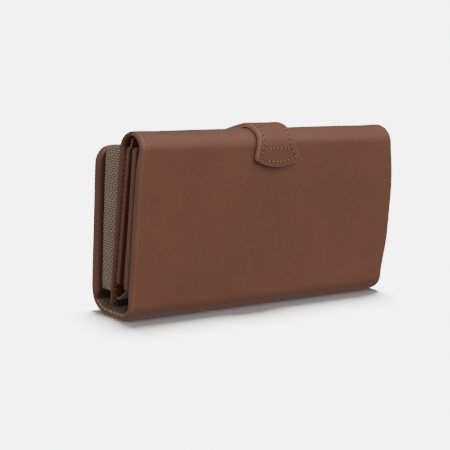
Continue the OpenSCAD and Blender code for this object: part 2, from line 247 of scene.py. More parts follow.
lamp("paper_sun", "SUN", (0.181, 0.205, 1), (0, 0, 0), 22, lit=paper_set,
     angle=math.radians(18))
lamp("front_sun", "SUN", (0.35, -1, 1), (0, 0, 0), 2.2,
     angle=math.radians(60))
lamp("end_sun", "SUN", (-1, 0.2, 0.35), (0, 0, 0), 0.5,
     angle=math.radians(60))
lamp("top_panel", "AREA", (0.25, -0.2, 0.9), (0, 0, 0.05), 2.0,
     shape="RECTANGLE", size=0.9, size_y=0.5)

# %% [markdown]
# ## Leather finish
# This leather is a smooth calf leather: its grain is finer than half a
# millimetre, its colour drifts a little over the width of a hand, and it is
# paler where an edge is turned or burnished. Part of that paleness is a
# painted highlight, where a rounded edge would catch the light. The grain is
# a fine cell pattern that only bends the light. A value stored on the mesh,
# called rim, is 0 on a face and tells how pale a turned edge is, up to 1,
# burnished colour and painted highlight together.

# %% Leather recipe
def leather_finish(name, dark, light, edge, roughness=0.54, grain=0.35):
    finish, tree, shader = new_finish(
        name, Specular_IOR_Level=0.32, Coat_Weight=0.04,
        Coat_Roughness=0.35)
    place = add(tree, "TexCoord").outputs["Object"]
    drift = cloud(tree, place, 22.0, 3.0, 0.55)
    speckle = cloud(tree, place, 700.0, 2.0)
    tone = maths(tree, "ADD", ramp(tree, drift, 0.3, 0.7, 0.0, 0.8),
                 ramp(tree, speckle, 0.35, 0.65, -0.15, 0.35))
    colour = blend_colours(tree, tone, dark, light)
    # rim blends towards the pale edge colour: burnished edge colour plus a painted highlight on
    # the rounded edge
    rim = add(tree, "Attribute", attribute_name="rim").outputs["Fac"]
    wear_and_highlight = maths(tree, "MULTIPLY", rim, ramp(tree, drift, 0.2, 0.8, 0.6, 1))
    tree.links.new(blend_colours(tree, wear_and_highlight, colour, edge),
                   shader.inputs["Base Color"])
    tree.links.new(
        maths(tree, "ADD", ramp(tree, drift, 0.3, 0.7, roughness - 0.03,
                                roughness + 0.05),
              maths(tree, "MULTIPLY", rim, -0.06)),
        shader.inputs["Roughness"])
    cells = add(tree, "TexVoronoi", {
        "Vector": place, "Scale": 2100.0, "Randomness": 1.0},
        feature="SMOOTH_F1").outputs["Distance"]
    creases = cloud(tree, place, 420.0, 4.0, 0.6)
    relief(tree, shader, maths(tree, "ADD", maths(
        tree, "MULTIPLY", cells, 0.5), creases), grain, 0.06 * MM)
    return finish


outer_leather = leather_finish(
    "outer_leather", (0.138, 0.054, 0.028, 1), (0.165, 0.065, 0.035, 1),
    (0.46, 0.26, 0.185, 1))
inner_leather = leather_finish(
    "inner_leather", (0.125, 0.046, 0.024, 1), (0.155, 0.060, 0.033, 1),
    (0.32, 0.165, 0.105, 1))
print("leathers:", outer_leather.name, inner_leather.name)

# %% [markdown]
# ## Woven finish
# The lining and the coin purse are a coarse plain weave. In a plain weave
# each square of the cloth shows either a warp or a weft thread, in turn,
# like a chessboard. The product of two sine waves has exactly that sign
# pattern, and its size makes every square a small pillow. Each pillow is
# painted darker towards its edges and the gaps between are painted dark:
# painted shade between the threads. The waves run along the cloth's own
# flat measures, which each piece keeps in its UV map in metres.

# %% Woven recipe
WEAVE_PITCH = 1.35 * MM


def woven_finish(name, gap_shade, weft, warp, pitch=WEAVE_PITCH, depth=0.25):
    finish, tree, shader = new_finish(
        name, Roughness=0.85, Specular_IOR_Level=0.25, Sheen_Weight=0.15,
        Sheen_Roughness=0.5)
    flat = add(tree, "UVMap", uv_map="flat").outputs["UV"]
    wobble = add(tree, "TexNoise", {"Vector": flat, "Scale": 260.0,
                                    "Detail": 2.0})
    axes = add(tree, "SeparateXYZ", {"Vector": flat})
    drift = add(tree, "SeparateXYZ", {"Vector": wobble.outputs["Color"]})
    waves = []
    for axis in ("X", "Y"):
        along = maths(tree, "MULTIPLY", axes.outputs[axis],
                      math.pi / pitch)
        shifted = maths(tree, "ADD", along, maths(
            tree, "MULTIPLY", drift.outputs[axis], 0.9))
        waves.append(maths(tree, "SINE", shifted))
    both = maths(tree, "MULTIPLY", waves[0], waves[1])
    pillow = maths(tree, "POWER", maths(tree, "ABSOLUTE", both), 0.45)
    over = ramp(tree, both, -0.15, 0.15)
    slub = cloud(tree, flat, 900.0, 3.0)
    thread = blend_colours(tree, over, weft, warp)
    thread = blend_colours(tree, ramp(tree, slub, 0.35, 0.7, 0, 0.45),
                           thread, gap_shade)
    # painted shade: each thread pillow darkens into the gap colour towards its edges
    tree.links.new(blend_colours(tree, ramp(tree, pillow, 0.25, 0.8), gap_shade,
                                 thread), shader.inputs["Base Color"])
    height = maths(tree, "ADD", pillow, maths(
        tree, "ADD", maths(tree, "MULTIPLY", over, 0.35),
        maths(tree, "MULTIPLY", slub, 0.3)))
    relief(tree, shader, height, 0.9, depth * MM)
    return finish


taupe_weave = woven_finish(
    "taupe_weave", (0.065, 0.041, 0.024, 1), (0.36, 0.25, 0.165, 1),
    (0.60, 0.45, 0.32, 1))
grey_cloth = woven_finish(
    "grey_cloth", (0.12, 0.105, 0.10, 1), (0.26, 0.235, 0.225, 1),
    (0.40, 0.36, 0.345, 1), pitch=0.5 * MM, depth=0.08)
print("weaves:", taupe_weave.name, grey_cloth.name)

# %% [markdown]
# ## Thread, metal and tape
# Waxed thread is a little paler than the leather it holds, the zip is aged
# brass with darker patches, and its tape is a fine twill. The needle holes
# are only dark marks beside each stitch: painted shade inside each hole. The
# magnets inside are plain steel.

# %% Small finishes
BUMP_DEPTH = 0.03 * MM


def fine_finish(name, dark, light, scale, roughness, metallic=0.0,
                shine=0.5):
    finish, tree, shader = new_finish(name, Metallic=metallic,
                                      Specular_IOR_Level=shine)
    place = add(tree, "TexCoord").outputs["Object"]
    patches = cloud(tree, place, scale, 4.0)
    tree.links.new(
        blend_colours(tree, ramp(tree, patches, 0.35, 0.65), dark, light),
        shader.inputs["Base Color"])
    tree.links.new(ramp(tree, patches, 0.3, 0.7, roughness,
                        roughness + 0.12), shader.inputs["Roughness"])
    relief(tree, shader, patches, 0.5, BUMP_DEPTH)
    return finish


thread = fine_finish("waxed_thread", (0.20, 0.105, 0.06, 1),
                     (0.33, 0.19, 0.12, 1), 2500, 0.55)
needle_hole_shade = fine_finish("needle_hole_shade", (0.016, 0.004, 0.002, 1),
                          (0.03, 0.009, 0.005, 1), 1500, 0.9, shine=0.0)
brass = fine_finish("aged_brass", (0.30, 0.21, 0.10, 1),
                    (0.52, 0.40, 0.20, 1), 350, 0.28, metallic=1.0)
steel = fine_finish("plain_steel", (0.45, 0.45, 0.46, 1),
                    (0.58, 0.58, 0.6, 1), 500, 0.35, metallic=1.0)
zip_twill = woven_finish(
    "zip_twill", (0.03, 0.014, 0.008, 1), (0.075, 0.036, 0.022, 1),
    (0.12, 0.06, 0.038, 1), pitch=0.35 * MM, depth=0.06)
print("small finishes:", thread.name, brass.name, zip_twill.name)

# %% [markdown]
# ## Working like a leatherworker
# Every leather piece here starts flat: a sheet is cut to its outline,
# given its thickness and turned edges, and then folded along a line of
# straights and bends. On the flat sheet, X runs along the wallet, Y is the
# distance along the fold line and Z is the depth from the first face. The
# flat measures are kept as the UV map before folding, so a weave follows
# the cloth round every bend.

# %% The fold line
class FoldLine:
    def __init__(self, y, z, heading, inner_side):
        self.point = Vector((y, z))
        self.heading = math.radians(heading)
        self.inner_side = inner_side
        self.length = 0.0
        self.parts = []

    def normal(self, heading):
        angle = heading + self.inner_side * math.pi / 2
        return Vector((math.cos(angle), math.sin(angle)))

    def straight(self, run):
        self.parts.append((self.length, self.point.copy(), self.heading, 0))
        self.point += run * Vector((math.cos(self.heading),
                                    math.sin(self.heading)))
        self.length += run
        return self

    def bend(self, radius, degrees):
        self.parts.append(
            (self.length, self.point.copy(), self.heading, radius))
        centre = self.point + radius * self.normal(self.heading)
        self.heading += self.inner_side * math.radians(degrees)
        self.point = centre - radius * self.normal(self.heading)
        self.length += radius * math.radians(degrees)
        return self

    def place(self, run, depth):
        begin, point, heading, radius = [
            p for p in self.parts if p[0] <= max(run, 0) + 1e-9][-1]
        run -= begin
        if radius:
            centre = point + radius * self.normal(heading)
            heading += self.inner_side * run / radius
            point = centre - radius * self.normal(heading)
        else:
            point = point + run * Vector((math.cos(heading),
                                          math.sin(heading)))
        return point + depth * self.normal(heading)


print("fold line ready")

# %% Cutting, slicing and folding helpers
def smooth_step(value, low, high):
    share = min(max((value - low) / (high - low), 0.0), 1.0)
    return share * share * (3 - 2 * share)


def cut_sheet(half_width, low, high, thick, corners=(0, 0), rims=(0, 0),
              turned_ends=(True, True)):
    bm = bmesh.new()
    bmesh.ops.create_grid(bm, x_segments=1, y_segments=1, size=1)
    bmesh.ops.scale(bm, vec=(half_width, (high - low) / 2, 1),
                    verts=bm.verts)
    bmesh.ops.translate(bm, vec=(0, (high + low) / 2, 0), verts=bm.verts)
    for end, radius in zip((low, high), corners):
        if radius:
            bmesh.ops.bevel(
                bm, geom=[v for v in bm.verts if abs(v.co.y - end) < 1e-7],
                offset=radius, segments=7, affect="VERTICES", profile=0.5,
                material=-1, clamp_overlap=True)
    return thicken(bm, thick, rims, [
        end for end, turned in zip((low, high), turned_ends) if not turned])


def thicken(bm, thick, rims, raw_ends=()):
    layer = bmesh.ops.extrude_face_region(bm, geom=bm.faces[:])["geom"]
    bmesh.ops.translate(
        bm, vec=(0, 0, thick),
        verts=[v for v in layer if isinstance(v, bmesh.types.BMVert)])
    bmesh.ops.recalc_face_normals(bm, faces=bm.faces)
    for depth, radius in zip((0, thick), rims):
        edges = [e for e in bm.edges
                 if all(abs(v.co.z - depth) < 1e-7 for v in e.verts)
                 and len(e.link_faces) == 2
                 and e.calc_face_angle() > 1.0
                 and not any(all(abs(v.co.y - end) < 1e-7 for v in e.verts)
                             for end in raw_ends)]
        if radius:
            bmesh.ops.bevel(bm, geom=edges, offset=radius, segments=4,
                            affect="EDGES", profile=0.5, material=-1,
                            clamp_overlap=True)
    return bm


def slice_sheet(bm, axis, places):
    for place in places:
        where, facing = Vector((0, 0, 0)), Vector((0, 0, 0))
        where[axis], facing[axis] = place, 1
        bmesh.ops.bisect_plane(
            bm, geom=bm.verts[:] + bm.edges[:] + bm.faces[:],
            plane_co=where, plane_no=facing, dist=1e-7)


def spread(low, high, step):
    count = max(1, round((high - low) / step))
    return [low + (high - low) * i / count for i in range(1, count)]


def slice_columns(bm):
    """Columns along the wallet, closer together near both ends."""
    ends = [side * (half_length - inset * MM)
            for side in (-1, 1) for inset in (3.5, 6, 9, 13, 18)]
    slice_sheet(bm, 0, spread(-half_length, half_length, 8 * MM) + ends)


def slice_bends(bm, line, fine=0.9 * MM, coarse=5 * MM):
    ends = [p[0] for p in line.parts[1:]] + [line.length]
    for (begin, _, _, radius), end in zip(line.parts, ends):
        slice_sheet(bm, 1, spread(begin, end, fine if radius else coarse))
        slice_sheet(bm, 1, [end] if end < line.length - 1e-6 else [])


def mark_rim(bm, thick, paleness=1.0):
    rim = bm.verts.layers.float.new("rim")
    for v in bm.verts:
        v[rim] = paleness * (1e-6 < v.co.z < thick - 1e-6)


def fold(bm, line, shape=None):
    flat = bm.loops.layers.uv.new("flat")
    for face in bm.faces:
        for loop in face.loops:
            loop[flat].uv = loop.vert.co.xy
    for v in bm.verts:
        x, run, depth = v.co
        if shape:
            x, run, depth = shape(x, run, depth)
        y, z = line.place(run, depth)
        v.co = (x, y, z)


def piece(name, bm, finish, crease=50):
    bmesh.ops.recalc_face_normals(bm, faces=bm.faces)
    for face in bm.faces:
        face.smooth = True
    for edge in bm.edges:
        edge.smooth = (len(edge.link_faces) == 2
                       and edge.calc_face_angle(0) < math.radians(crease))
    mesh = bpy.data.meshes.new(name)
    bm.to_mesh(mesh)
    bm.free()
    mesh.materials.append(finish)
    made = bpy.data.objects.new(name, mesh)
    bpy.context.scene.collection.objects.link(made)
    print(f"{name}: {len(mesh.polygons)} faces")
    return made


print("cut, slice, fold and piece helpers ready")

# %% [markdown]
# ## Front cover and top roll
# One strip of leather runs from the middle of the spine, up the front and
# over the top to the crest of the roll. Over the front it wraps a soft
# filling and a board, so it is thickest there and thin again in the roll.
# A hand-made roll is never quite straight: its ends stand up a little as
# ears and draw in. The padded face is slightly crowned, and its right end
# bows out at half height.

# %% Front cover
FLAT_THICK = 4.0 * MM
FRONT_THICK = 3.6 * MM
SPINE_THICK = 2.5 * MM
ROLL_THICK = 2.6 * MM
RIGHT_BOW = 2.7 * MM

front_line = FoldLine(spine_y, 0, 180, -1)
front_line.straight(spine_y - front_y - corner_r).bend(corner_r, 90)
front_line.straight(roll_z - corner_r).bend(roll_r, 90)
face_start = spine_y - front_y - corner_r + corner_r * math.pi / 2
face_end = face_start + roll_z - corner_r


def roll_ease(x, run, depth, fullness):
    """Ears, a slight rise beside the tab and drawn-in ends at the roll."""
    near_end = smooth_step(abs(x), half_length - 34 * MM, half_length)
    ear = smooth_step(abs(x), half_length - 16 * MM, half_length - 5 * MM)
    rise = math.sin(math.pi * min(abs(x) / (half_length - 8 * MM), 1)) ** 2
    depth -= fullness * MM * (0.1 * rise + 0.2 * ear)
    pull = 3.4 if x > 0 else 0.9
    x -= math.copysign(pull * MM * near_end * fullness, x)
    return x, run, depth


def front_thick(run):
    return (SPINE_THICK
            + (FRONT_THICK - SPINE_THICK)
            * smooth_step(run, face_start - 8 * MM, face_start + 8 * MM)
            + (ROLL_THICK - FRONT_THICK)
            * smooth_step(run, face_end - 9 * MM, face_end + 2 * MM))


def shape_front(x, run, depth):
    depth *= front_thick(run) / FLAT_THICK
    over_face = (smooth_step(run, face_start, face_start + 25 * MM)
                 * (1 - smooth_step(run, face_end - 30 * MM, face_end)))
    near_mid = 1 - (abs(x) / half_length) ** 2
    wave = noise.noise(Vector((x * 22, run * 30, 3.1)))
    depth -= MM * over_face * (0.55 * near_mid + 0.22 * wave)
    if x > 0:
        x += RIGHT_BOW * (x / half_length) ** 3 * over_face
    fullness = smooth_step(run, face_end - 16 * MM, front_line.length)
    return roll_ease(x, run, depth, fullness)


bm = cut_sheet(half_length, 0, front_line.length, FLAT_THICK,
               rims=(2.6 * MM, 0.9 * MM), turned_ends=(False, False))
# faint pale rim on the turned ends: burnished colour plus a faint painted highlight
mark_rim(bm, FLAT_THICK, 0.12)
slice_bends(bm, front_line)
slice_sheet(bm, 1, spread(front_line.length - 2 * MM, front_line.length,
                          0.35 * MM))
slice_columns(bm)
fold(bm, front_line, shape_front)
front_cover = piece("front_cover", bm, outer_leather)
FRONT_BEND = dict(start=(0, front_y + corner_r, 0),
                  end=(0, front_y, corner_r))
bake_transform(front_cover)
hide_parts("front_leather", "front_foam", "front_board",
            "front_roll", "spine_leather")

# %% [markdown]
# ## Card flap
# From the crest the same strip turns down the back of the roll and becomes
# the flap that hangs inside. It is a piece of its own that meets the front
# cover at the crest, built in its rest pose. The flap is filled at the top
# and thins to its free edge.

# %% Card flap
FLAP_TOP, FLAP_TIP = 4.6 * MM, 2.1 * MM
flap_line = FoldLine(crest.y, crest.z, 0, -1)
flap_line.bend(roll_r, 90).straight(roll_z - flap_tip_z)
flap_start = roll_r * math.pi / 2


def flap_thick(run):
    filled = smooth_step(run, flap_start - 5 * MM, flap_start + 5 * MM)
    thin = min(max((run - flap_start)
                   / (flap_line.length - flap_start), 0), 1)
    return (ROLL_THICK + (FLAP_TOP - ROLL_THICK) * filled
            + (FLAP_TIP - FLAP_TOP) * thin)


def shape_flap(x, run, depth):
    depth *= flap_thick(run) / FLAT_THICK
    fullness = 1 - smooth_step(run, 0, flap_start + 8 * MM)
    return roll_ease(x, run, depth, fullness)


bm = cut_sheet(half_length, 0, flap_line.length, FLAT_THICK,
               corners=(0, 3 * MM), rims=(1.6 * MM, 1.6 * MM),
               turned_ends=(False, True))
mark_rim(bm, FLAT_THICK, 0.0)
slice_bends(bm, flap_line)
slice_sheet(bm, 1, spread(0, 2 * MM, 0.35 * MM))
slice_columns(bm)
fold(bm, flap_line, shape_flap)
card_flap = piece("card_flap", bm, outer_leather)
FLAP_BEND = dict(start=crest, end=(0, flap_rear_y, roll_z))
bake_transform(card_flap)
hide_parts("flap_roll", "flap_leather", "flap_filler",
            "flap_inner_leather")

# %% [markdown]
# ## Rear cover
# The rear half of the strip runs from the middle of the spine round the
# rear corner and up the back, where it leans by the few degrees that the
# coin purse pushes it out. It is a padded cover with a fully rounded edge
# and rounded top corners. Its bottom corner sags into a wider bend than the
# measured one, so the bend starts sooner and still ends on the same
# leaning face.

# %% Rear cover
REAR_THICK = 5.2 * MM
REAR_CORNER_R = 15.5 * MM
END_SWELL = 0.8 * MM
rear_fold = hinge_at["rear_open"]
rear_corner_y = (rear_fold.y * math.cos(lean) - fold_z * math.sin(lean)
                 + fold_z - corner_r * (1 - math.sin(lean))) / math.cos(lean)
rear_top_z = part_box("rear_leather")[1].z - 1.2 * MM
rear_corner_y -= (REAR_CORNER_R - corner_r) * math.tan(
    math.radians(90 - lean_deg) / 2)
rear_line = FoldLine(spine_y, 0, 0, 1)
rear_line.straight(rear_corner_y - spine_y)
rear_line.bend(REAR_CORNER_R, 90 - lean_deg)
rear_face_start = rear_line.length
rear_face = rear_line.point.copy()
rear_line.straight((rear_top_z - rear_face.y) / math.cos(lean))


def rear_thick(run):
    return SPINE_THICK + (REAR_THICK - SPINE_THICK) * smooth_step(
        run, rear_face_start - 11 * MM, rear_face_start - 3 * MM)


def shape_rear(x, run, depth):
    thick = rear_thick(run)
    depth *= thick / REAR_THICK
    over_face = smooth_step(run, rear_face_start, rear_face_start + 25 * MM)
    near_mid = 1 - (abs(x) / half_length) ** 2
    near_top = 1 - smooth_step(run, rear_line.length - 25 * MM,
                               rear_line.length)
    wave = noise.noise(Vector((x * 20, run * 28, 8.7)))
    if depth < 0.5 * thick:
        depth -= MM * over_face * near_top * (0.5 * near_mid + 0.2 * wave)
    elif run > rear_face_start - 8 * MM:
        at_end = smooth_step(abs(x), half_length - 6 * MM,
                             half_length - 3.5 * MM)
        depth += END_SWELL * at_end * (1 - smooth_step(
            run, rear_face_start + 20 * MM, rear_line.length - 15 * MM))
    return x, run, depth


bm = cut_sheet(half_length, 0, rear_line.length, REAR_THICK,
               corners=(0, 9.5 * MM), rims=(2.5 * MM, 2.1 * MM),
               turned_ends=(False, True))
# faint pale rim on the turned ends: burnished colour plus a faint painted highlight
mark_rim(bm, REAR_THICK, 0.1)
slice_bends(bm, rear_line)
slice_columns(bm)
fold(bm, rear_line, shape_rear)
rear_cover = piece("rear_cover", bm, outer_leather)
REAR_BEND = dict(start=(0, rear_corner_y, 0), end=(0, *rear_face))
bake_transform(rear_cover)
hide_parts("rear_leather", "rear_foam", "rear_board")

# %% [markdown]
# ## Woven lining
# The inside of the spine is lined with the coarse taupe cloth, which shows
# as a pale band round the bottom at both ends. In front it goes on up the
# cover, where it draws in from the ends and hides behind the leather. It
# follows the same fold lines as the leather and lies on its inner face, so
# each half starts from the leather's own thickness.

# %% Woven linings
LINING_THICK = 0.7 * MM
LINING_SUNK = 0.08 * MM
LINING_DRAW = 0.05


def line_cover(name, line, thickness_at, length, bodies, bend, *nodes):
    bm = cut_sheet(half_length - 0.7 * MM, 0, length, LINING_THICK,
                   rims=(0, 0.3 * MM), turned_ends=(False, True))
    slice_bends(bm, line)
    slice_sheet(bm, 0, spread(-half_length, half_length, 12 * MM))
    bend_end = line.parts[2][0]
    fold(bm, line, lambda x, run, depth: (
        x * (1 - LINING_DRAW * smooth_step(run, bend_end - 8 * MM,
                                           bend_end + 2 * MM)),
        run, thickness_at(run) - LINING_SUNK + depth))
    lining = piece(name, bm, taupe_weave)
    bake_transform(lining)
    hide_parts(*nodes)


line_cover(
    "front_weave", front_line, front_thick, face_end - 4 * MM,
    ("spine", "front_block"), FRONT_BEND, "front_lining", "spine_lining")
line_cover(
    "rear_weave", rear_line, rear_thick, rear_face_start - 11 * MM,
    ("spine", "rear_cover"), REAR_BEND, "rear_lining")

# %% [markdown]
# ## Stitching
# A machine seam is a row of short threads that dip into needle holes. Each
# stitch here is a small rounded capsule of a few dozen faces, with a dark
# mark at each end for its hole, which is painted shade in the hole. The rows
# are laid out on the flat sheet and folded with the leather, so they follow every bend.

# %% Stitch helpers
STITCH_PITCH = 2.9 * MM


def gather(parts):
    whole = bmesh.new()
    for part in parts:
        mesh = bpy.data.meshes.new("part")
        part.to_mesh(mesh)
        part.free()
        whole.from_mesh(mesh)
        bpy.data.meshes.remove(mesh)
    return whole


def along(points, pitch):
    """Places at an even pitch along a flat polyline, with the direction."""
    runs = [0.0]
    for a, b in zip(points, points[1:]):
        runs.append(runs[-1] + math.dist(a, b))
    count = max(1, round(runs[-1] / pitch))
    for i in range(2 * count + 1):
        run = runs[-1] * i / (2 * count)
        k = max(j for j in range(len(points) - 1) if runs[j] <= run + 1e-9)
        share = (run - runs[k]) / (runs[k + 1] - runs[k])
        x, y = (p + share * (q - p) for p, q in zip(points[k], points[k + 1]))
        yield i % 2, x, y, math.atan2(points[k + 1][1] - points[k][1],
                                      points[k + 1][0] - points[k][0])


def lay_stitches(threads, holes, points, depth=0.0, pitch=STITCH_PITCH,
                 length=2.1 * MM, width=0.55 * MM, high=0.4 * MM):
    for odd, x, y, angle in along(points, pitch):
        turn = Matrix.Rotation(angle, 4, "Z")
        spot = Matrix.Translation((x, y, depth))
        if odd:
            bmesh.ops.create_uvsphere(
                threads, u_segments=8, v_segments=4, radius=0.5,
                matrix=spot @ turn @ Matrix.Diagonal(
                    (length, width, high, 1)))
        # even places get a flat near-black disc: painted shade in the needle hole
        else:
            bmesh.ops.create_uvsphere(
                holes, u_segments=6, v_segments=4, radius=0.5,
                matrix=spot @ turn @ Matrix.Diagonal(
                    (0.85 * MM, 0.8 * MM, 0.16 * MM, 1)))


def sew(name, threads, holes, line, shape):
    made = []
    for suffix, bm, finish in (("", threads, thread),
                               ("_holes", holes, needle_hole_shade)):
        fold(bm, line, shape)
        made.append(piece(name + suffix, bm, finish, crease=180))
    return made


print("stitch helpers ready")

# %% [markdown]
# ## Flap seams
# A seam runs down both ends of the flap's inner face, close to its edge,
# and along its free edge. It is laid on the inner face, so its depth is
# the flap's own thickness at every height.

# %% Flap seams
threads, holes = bmesh.new(), bmesh.new()
seam_x = half_length - 1.9 * MM
seam_low = flap_line.length - 2.2 * MM
for end in (-1, 1):
    lay_stitches(threads, holes, [(end * seam_x, flap_start + 3 * MM),
                                  (end * seam_x, seam_low)])
lay_stitches(threads, holes, [(-seam_x, seam_low), (seam_x, seam_low)])
flap_seams = sew("flap_seam", threads, holes, flap_line,
                 lambda x, run, depth: (x, run, flap_thick(run) + depth))
for seam in flap_seams:
    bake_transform(seam)
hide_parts("flap_stitching")

# %% [markdown]
# ## Card panels
# Two panels hold cards in stepped slots: one on the inner face of the
# front cover and one on the flap. A panel is a padded backing with three
# thin leaves in each of two columns, each leaf shorter than the one behind,
# so the mouths make steps. A seam holds the leaves down at their sides.

# %% Card panels
LEAF_THICK = 0.22 * MM
FRONT_BACKING, FLAP_BACKING = 3.9 * MM, 2.6 * MM
backing_low, backing_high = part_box("front_card_backing")
slots_low, slots_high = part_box("front_card_slots")
COLUMN_GAP = 3 * MM
column_half = (slots_high.x - COLUMN_GAP / 2) / 2
column_x = column_half + COLUMN_GAP / 2
SLOT_STEP = 13 * MM
first_mouth = slots_high.z - slots_low.z


def card_panel(name, line, body, half_width, height, low, back_thick,
               nodes):
    parts = [cut_sheet(half_width, low, height, back_thick,
                       corners=(1.5 * MM, 2.5 * MM),
                       rims=(0.3 * back_thick, 0.3 * back_thick))]
    mark_rim(parts[0], back_thick, 0.25)
    threads, holes = bmesh.new(), bmesh.new()
    for column in (-1, 1):
        for i in range(3):
            mouth = first_mouth - i * SLOT_STEP
            leaf = cut_sheet(column_half, 0, mouth, LEAF_THICK * 0.96,
                             corners=(0.6 * MM, 1.2 * MM),
                             rims=(0.07 * MM, 0.07 * MM))
            mark_rim(leaf, LEAF_THICK * 0.96, 0.6)
            bmesh.ops.translate(leaf, verts=leaf.verts, vec=(
                column * column_x, 0, -(i + 1) * LEAF_THICK))
            parts.append(leaf)
            top = mouth - 1.3 * MM
            below = mouth - SLOT_STEP + 0.6 * MM if i < 2 else 1.6 * MM
            for edge in (-1, 1):
                x = column * column_x + edge * (column_half - 2.5 * MM)
                lay_stitches(threads, holes, [(x, below), (x, top)],
                             depth=-(i + 1) * LEAF_THICK, high=0.2 * MM)
    panel = gather(parts)
    slice_sheet(panel, 1, spread(low, height, 12 * MM))
    slice_sheet(panel, 0, spread(-half_width, half_width, 12 * MM))

    def settle(x, run, depth):
        wave = noise.noise(Vector((x * 25, run * 40, 5.5)))
        return x, run, depth - 0.12 * MM * wave

    fold(panel, line, settle)
    made = piece(name, panel, inner_leather, crease=35)
    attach(made, body)
    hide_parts(*nodes)
    for seam in sew(name + "_seam", threads, holes, line, settle):
        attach(seam, body)


panel_base = slots_low.z
FRONT_PANEL_INSET = 5.9 * MM
front_panel_line = FoldLine(
    front_y + FRONT_PANEL_INSET + FRONT_BACKING, panel_base, 90, 1)
front_panel_line.straight(backing_high.z - panel_base)
card_panel("front_card_panel", front_panel_line, "front_block",
           backing_high.x, backing_high.z - panel_base,
           backing_low.z - panel_base, FRONT_BACKING,
           ("front_card_backing", "front_card_slots"))

flap_inner_top = flap_rear_y - FLAP_TOP
flap_slope = math.atan((FLAP_TOP - FLAP_TIP) / (roll_z - flap_tip_z))
flap_panel_line = FoldLine(
    flap_inner_top - FLAP_BACKING
    + (roll_z - panel_base) * math.tan(flap_slope), panel_base,
    90 + math.degrees(flap_slope), -1)
flap_panel_line.straight(backing_high.z - panel_base)
card_panel("flap_card_panel", flap_panel_line, "card_flap",
           backing_high.x, backing_high.z - panel_base, 0, FLAP_BACKING,
           ("flap_card_backing", "flap_card_slots"))

# %% [markdown]
# ## Tongue in the roll
# At both ends a thin tongue shows inside the roll: the flap panel's
# backing is longer than the panel and is glued up under the crest.

# %% Roll tongue
TONGUE_THICK = 0.8 * MM
tongue_line = FoldLine(flap_inner_top - FLAP_BACKING,
                       backing_high.z - 1 * MM, 90, -1)
tongue_line.straight(1.2 * MM)
tongue_line.inner_side = 1
tongue_line.bend(8 * MM, 20).straight(1.8 * MM)
bm = cut_sheet(half_length - 2.2 * MM, 0, tongue_line.length,
               TONGUE_THICK, rims=(0.3 * MM, 0.3 * MM))
mark_rim(bm, TONGUE_THICK)
slice_bends(bm, tongue_line)
slice_sheet(bm, 0, spread(-half_length, half_length, 12 * MM))
fold(bm, tongue_line)
tongue = piece("roll_tongue", bm, inner_leather)
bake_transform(tongue)

# %% [markdown]
# ## Note pocket lining
# The floor of the note pocket is a thin grey cloth, folded once and left
# loose at the ends, where its edge shows as a fine pale line in the dark.

# %% Note pocket lining
CLOTH_THICK = 0.4 * MM
note_low, note_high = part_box("note_lining")
note_half = note_high.x - 0.3 * MM
note_line = FoldLine(note_low.y - 0.2 * MM, note_high.z - 0.1 * MM, 0, 1)
note_line.straight(3.0 * MM)
note_line.inner_side = -1
note_line.bend(3.5 * MM, 42).straight(7.6 * MM)
note_line.inner_side = 1
note_line.bend(1.2 * MM, 100).straight(0.8 * MM)
bm = cut_sheet(note_half, 0, note_line.length, CLOTH_THICK,
               rims=(0.12 * MM, 0.12 * MM))
slice_bends(bm, note_line, fine=0.6 * MM)
slice_sheet(bm, 0, spread(-note_half, note_half, 6 * MM))


def ruffle(x, run, depth):
    wave = noise.noise(Vector((x * 35, run * 60, 2.2)))
    return x, run, depth + 0.35 * MM * wave * smooth_step(
        run, 2 * MM, note_line.length)


fold(bm, note_line, ruffle)
note_lining = piece("note_pocket_lining", bm, grey_cloth)
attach(note_lining, "front_block")
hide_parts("note_lining")

# %% [markdown]
# ## Coin purse
# The coin purse is a bag of the same coarse weave: two walls, a floor and
# two end gussets with a rounded shoulder. The walls are thin sheets that
# belly out a little. The gussets are what shows, so their threads are real
# relief: a fine grid is pushed out by the same product of sine waves that
# colours the cloth.

# %% Purse walls and floor
def weave_relief(u, v):
    both = (math.sin(math.pi * u / WEAVE_PITCH)
            * math.sin(math.pi * v / WEAVE_PITCH))
    return abs(both) ** 0.45 + (0.25 if both > 0 else 0.0)


wall_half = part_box("purse_front_wall")[1].x
front_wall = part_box("purse_front_wall")
rear_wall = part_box("purse_rear_wall")
WALL_THICK = 0.8 * MM


def purse_sheet(name, line, node, belly):
    bm = cut_sheet(wall_half, 0, line.length, WALL_THICK,
                   rims=(0.25 * MM, 0.25 * MM))
    slice_sheet(bm, 0, spread(-wall_half, wall_half, 6 * MM))
    slice_sheet(bm, 1, spread(0, line.length, 4 * MM))

    def billow(x, run, depth):
        swell = (math.sin(math.pi * run / line.length)
                 * (1 - (x / wall_half) ** 4))
        wave = noise.noise(Vector((x * 30, run * 45, 7.1)))
        return x, run, depth - belly * MM * swell * (1 + 0.5 * wave)

    fold(bm, line, billow)
    wall = piece(name, bm, taupe_weave)
    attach(wall, "rear_cover")
    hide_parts(node)
    return wall


line = FoldLine(front_wall[0].y, front_wall[0].z, 90, -1)
purse_sheet("purse_front_cloth", line.straight(
    front_wall[1].z - front_wall[0].z), "purse_front_wall", 0.35)
run = rear_wall[1].z - rear_wall[0].z
line = FoldLine(rear_wall[1].y - run * math.tan(lean), rear_wall[0].z,
                90 - lean_deg, 1)
purse_sheet("purse_rear_cloth", line.straight(run / math.cos(lean)),
            "purse_rear_wall", 0.0)
floor_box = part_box("purse_floor")
line = FoldLine(floor_box[0].y, floor_box[0].z, 0, 1)
purse_sheet("purse_floor_cloth", line.straight(
    floor_box[1].y - floor_box[0].y), "purse_floor", 0.3)

# %% Purse gussets
GUSSET_CELL = 0.3 * MM
SHOULDER_R = 9 * MM


